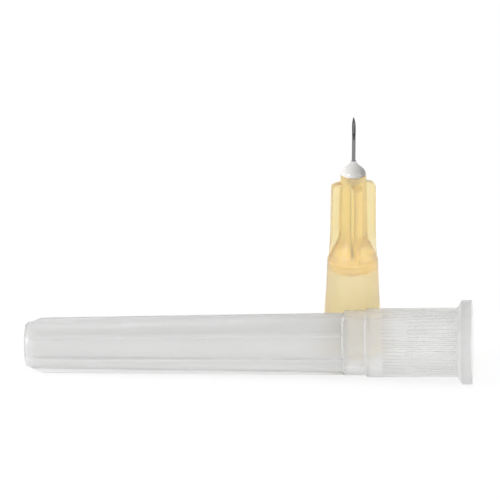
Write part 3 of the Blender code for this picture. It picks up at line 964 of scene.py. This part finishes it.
def cut_away(obj, block):
    """Cuts a block away from a piece for good. The cut faces take the block's material."""
    modifier = obj.modifiers.new(block.name, "BOOLEAN")
    modifier.operation = "DIFFERENCE"
    modifier.solver = "EXACT"
    modifier.material_mode = "TRANSFER"
    modifier.object = block
    graph = bpy.context.evaluated_depsgraph_get()
    mesh = bpy.data.meshes.new_from_object(obj.evaluated_get(graph))
    old = obj.data
    obj.modifiers.clear()
    obj.data = mesh
    bpy.data.meshes.remove(old)
    bpy.data.objects.remove(block)


class NEEDLE_OT_make_cannula(Operator):
    """Makes the steel cannula and grinds its lancet point"""

    bl_idname = "needle.make_cannula"
    bl_label = "Make Cannula"

    def execute(self, context):
        settings, hub = context.scene.needle_cannula, context.scene.needle_hub
        low = hub.socket_depth + FUNNEL_DEPTH + CANNULA_ABOVE_FUNNEL
        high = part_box("cannula")[1].z
        outline = [
            (settings.bore_radius, high),
            (settings.radius, high),
            (settings.radius, low),
            (settings.bore_radius, low),
        ]
        bm = spun(supported(outline), SMALL_SEGMENTS)
        moved_to(bm, hub_place())
        obj = object_from(bm, "cannula_tube")
        drawn, ground = cannula_steels(settings)
        obj.data.materials.append(drawn)
        planes = [(0, settings.bevel_length), (1, settings.lancet_length), (-1, settings.lancet_length)]
        for number, (side, length) in enumerate(planes):
            facing = settings.bevel_facing + side * settings.lancet_turn
            block = grinding_block(f"grinding_{number}", settings, facing, length, high)
            block.data.materials.append(ground)
            cut_away(obj, block)
        finish_piece(obj, "cannula", [])
        return {"FINISHED"}


class NEEDLE_OT_make_bead(Operator):
    """Makes the bead of adhesive that fills the well and draws up along the cannula"""

    bl_idname = "needle.make_bead"
    bl_label = "Make Bead"

    def execute(self, context):
        settings, hub = context.scene.needle_cannula, context.scene.needle_hub
        inner = settings.radius + BORE_ROOM
        floor = hub.height - WELL_DEPTH + BORE_ROOM
        seat = hub.height + BORE_ROOM
        outline = [(inner, floor), (WELL_FLOOR_RADIUS - BORE_ROOM, floor), (WELL_RADIUS - BORE_ROOM, seat)]
        for i in range(BEAD_STEPS + 1):
            part = i / BEAD_STEPS
            bell = (1 + cos(pi * part**BEAD_FULLNESS)) / 2
            height = between(seat, hub.height + settings.bead_height, part)
            outline.append((between(inner + BEAD_LIP, settings.bead_radius, bell), height))
        outline += [(inner, hub.height + settings.bead_height)]
        bm = spun(supported(outline), SMALL_SEGMENTS)
        moved_to(bm, hub_place())
        obj = object_from(bm, "adhesive_drop")
        finish_piece(obj, "adhesive_bead", [cured_adhesive(settings)])
        return {"FINISHED"}


# Studio


def backdrop_ray(nodes, links):
    """1 for rays from the camera, and for those that were mirrored or went through."""
    path = nodes.new("ShaderNodeLightPath")
    value = path.outputs["Is Camera Ray"]
    for ray in ("Is Glossy Ray", "Is Transmission Ray"):
        most = nodes.new("ShaderNodeMath")
        most.operation = "MAXIMUM"
        links.new(value, most.inputs[0])
        links.new(path.outputs[ray], most.inputs[1])
        value = most.outputs["Value"]
    return value


def lit_white(nodes, links, shade, glow):
    """A matt surface of a pale shade that also gives some light of its own, like a lit table."""
    matt = nodes.new("ShaderNodeBsdfDiffuse")
    matt.inputs["Color"].default_value = (shade, shade, shade, 1)
    light = nodes.new("ShaderNodeEmission")
    light.inputs["Strength"].default_value = glow
    both = nodes.new("ShaderNodeAddShader")
    links.new(matt.outputs["BSDF"], both.inputs[0])
    links.new(light.outputs["Emission"], both.inputs[1])
    return both.outputs["Shader"]


def make_floor():
    bm = bmesh.new()
    bmesh.ops.create_grid(bm, x_segments=1, y_segments=1, size=FLOOR_REACH)
    moved_to(bm, (0, 0, -FLOOR_DROP))
    floor = object_from(bm, "floor")
    material, nodes, links = new_material("pale_floor")
    nodes.remove(nodes["Principled BSDF"])
    mix = nodes.new("ShaderNodeMixShader")
    links.new(backdrop_ray(nodes, links), mix.inputs["Fac"])
    links.new(lit_white(nodes, links, FLOOR_WHITE, FLOOR_LIGHT), mix.inputs[1])
    links.new(lit_white(nodes, links, FLOOR_SHADE, FLOOR_GLOW), mix.inputs[2])
    links.new(mix.outputs["Shader"], nodes["Material Output"].inputs["Surface"])
    floor.data.materials.append(material)


def make_world(ambient):
    world = bpy.data.worlds.new("pale_studio")
    bpy.context.scene.world = world
    world.use_nodes = True
    nodes, links = world.node_tree.nodes, world.node_tree.links
    strength = nodes.new("ShaderNodeMix")
    strength.inputs["A"].default_value = ambient
    strength.inputs["B"].default_value = 1.0
    links.new(backdrop_ray(nodes, links), strength.inputs["Factor"])
    background = nodes["Background"]
    background.inputs["Color"].default_value = (1, 1, 1, 1)
    links.new(strength.outputs["Result"], background.inputs["Strength"])


def make_lamp(name, direction, strength, aim):
    """A square soft lamp that adds its strength to the brightness of a white face turned to it."""
    light = bpy.data.lights.new(name, "AREA")
    light.size = LAMP_SIZE
    light.energy = strength * pi * pi * LAMP_DISTANCE**2
    lamp = bpy.data.objects.new(name, light)
    towards = Vector(direction).normalized()
    lamp.location = aim + towards * LAMP_DISTANCE
    lamp.rotation_euler = towards.to_track_quat("Z", "Y").to_euler()
    bpy.context.scene.collection.objects.link(lamp)


def make_camera(studio):
    turn, rise = studio.camera_turn, studio.camera_rise
    back = Vector((sin(turn) * cos(rise), -cos(turn) * cos(rise), sin(rise)))
    data = bpy.data.cameras.new("camera")
    data.lens = studio.camera_lens
    camera = bpy.data.objects.new("camera", data)
    camera.location = Vector(studio.aim) + back * studio.camera_distance
    camera.rotation_euler = back.to_track_quat("Z", "Y").to_euler()
    bpy.context.scene.collection.objects.link(camera)
    bpy.context.scene.camera = camera


class NEEDLE_OT_make_studio(Operator):
    """Makes the pale floor, the soft light and the camera"""

    bl_idname = "needle.make_studio"
    bl_label = "Make Studio"

    def execute(self, context):
        studio = context.scene.needle_studio
        make_floor()
        make_world(studio.ambient)
        aim = Vector(studio.aim)
        make_lamp("key_lamp", KEY_FROM, studio.key, aim)
        make_lamp("fill_lamp", FILL_FROM, studio.fill, aim)
        make_camera(studio)
        context.scene.view_settings.view_transform = "Standard"
        return {"FINISHED"}


class NEEDLE_PT_panel(Panel):
    """Lists the pieces with their sizes"""

    bl_idname = "NEEDLE_PT_panel"
    bl_label = "Needle and Cap"
    bl_space_type = "VIEW_3D"
    bl_region_type = "UI"
    bl_category = "Needle"

    def draw(self, context):
        for title, group, operators in PANEL_ROWS:
            box = self.layout.box()
            box.label(text=title)
            settings = getattr(context.scene, group)
            for name in type(settings).__annotations__:
                box.prop(settings, name)
            for operator in operators:
                box.operator(operator)


PANEL_ROWS = (
    ("Cap", "needle_cap", ("needle.make_cap",)),
    ("Hub", "needle_hub", ("needle.make_hub",)),
    ("Cannula and bead", "needle_cannula", ("needle.make_cannula", "needle.make_bead")),
    ("Studio", "needle_studio", ("needle.make_studio",)),
)
SETTINGS = {
    "needle_cap": CapSettings,
    "needle_hub": HubSettings,
    "needle_cannula": CannulaSettings,
    "needle_studio": StudioSettings,
}
CLASSES = (
    *SETTINGS.values(),
    NEEDLE_OT_make_cap,
    NEEDLE_OT_make_hub,
    NEEDLE_OT_make_cannula,
    NEEDLE_OT_make_bead,
    NEEDLE_OT_make_studio,
    NEEDLE_PT_panel,
)


def register():
    for cls in CLASSES:
        bpy.utils.register_class(cls)
    for name, group in SETTINGS.items():
        setattr(bpy.types.Scene, name, PointerProperty(type=group))


def unregister():
    for name in SETTINGS:
        delattr(bpy.types.Scene, name)
    for cls in reversed(CLASSES):
        bpy.utils.unregister_class(cls)


def main():
    register()
    bpy.ops.needle.make_studio()
    bpy.ops.needle.make_cap()
    bpy.ops.needle.make_hub()
    bpy.ops.needle.make_cannula()
    bpy.ops.needle.make_bead()


if __name__ == "__main__":
    main()
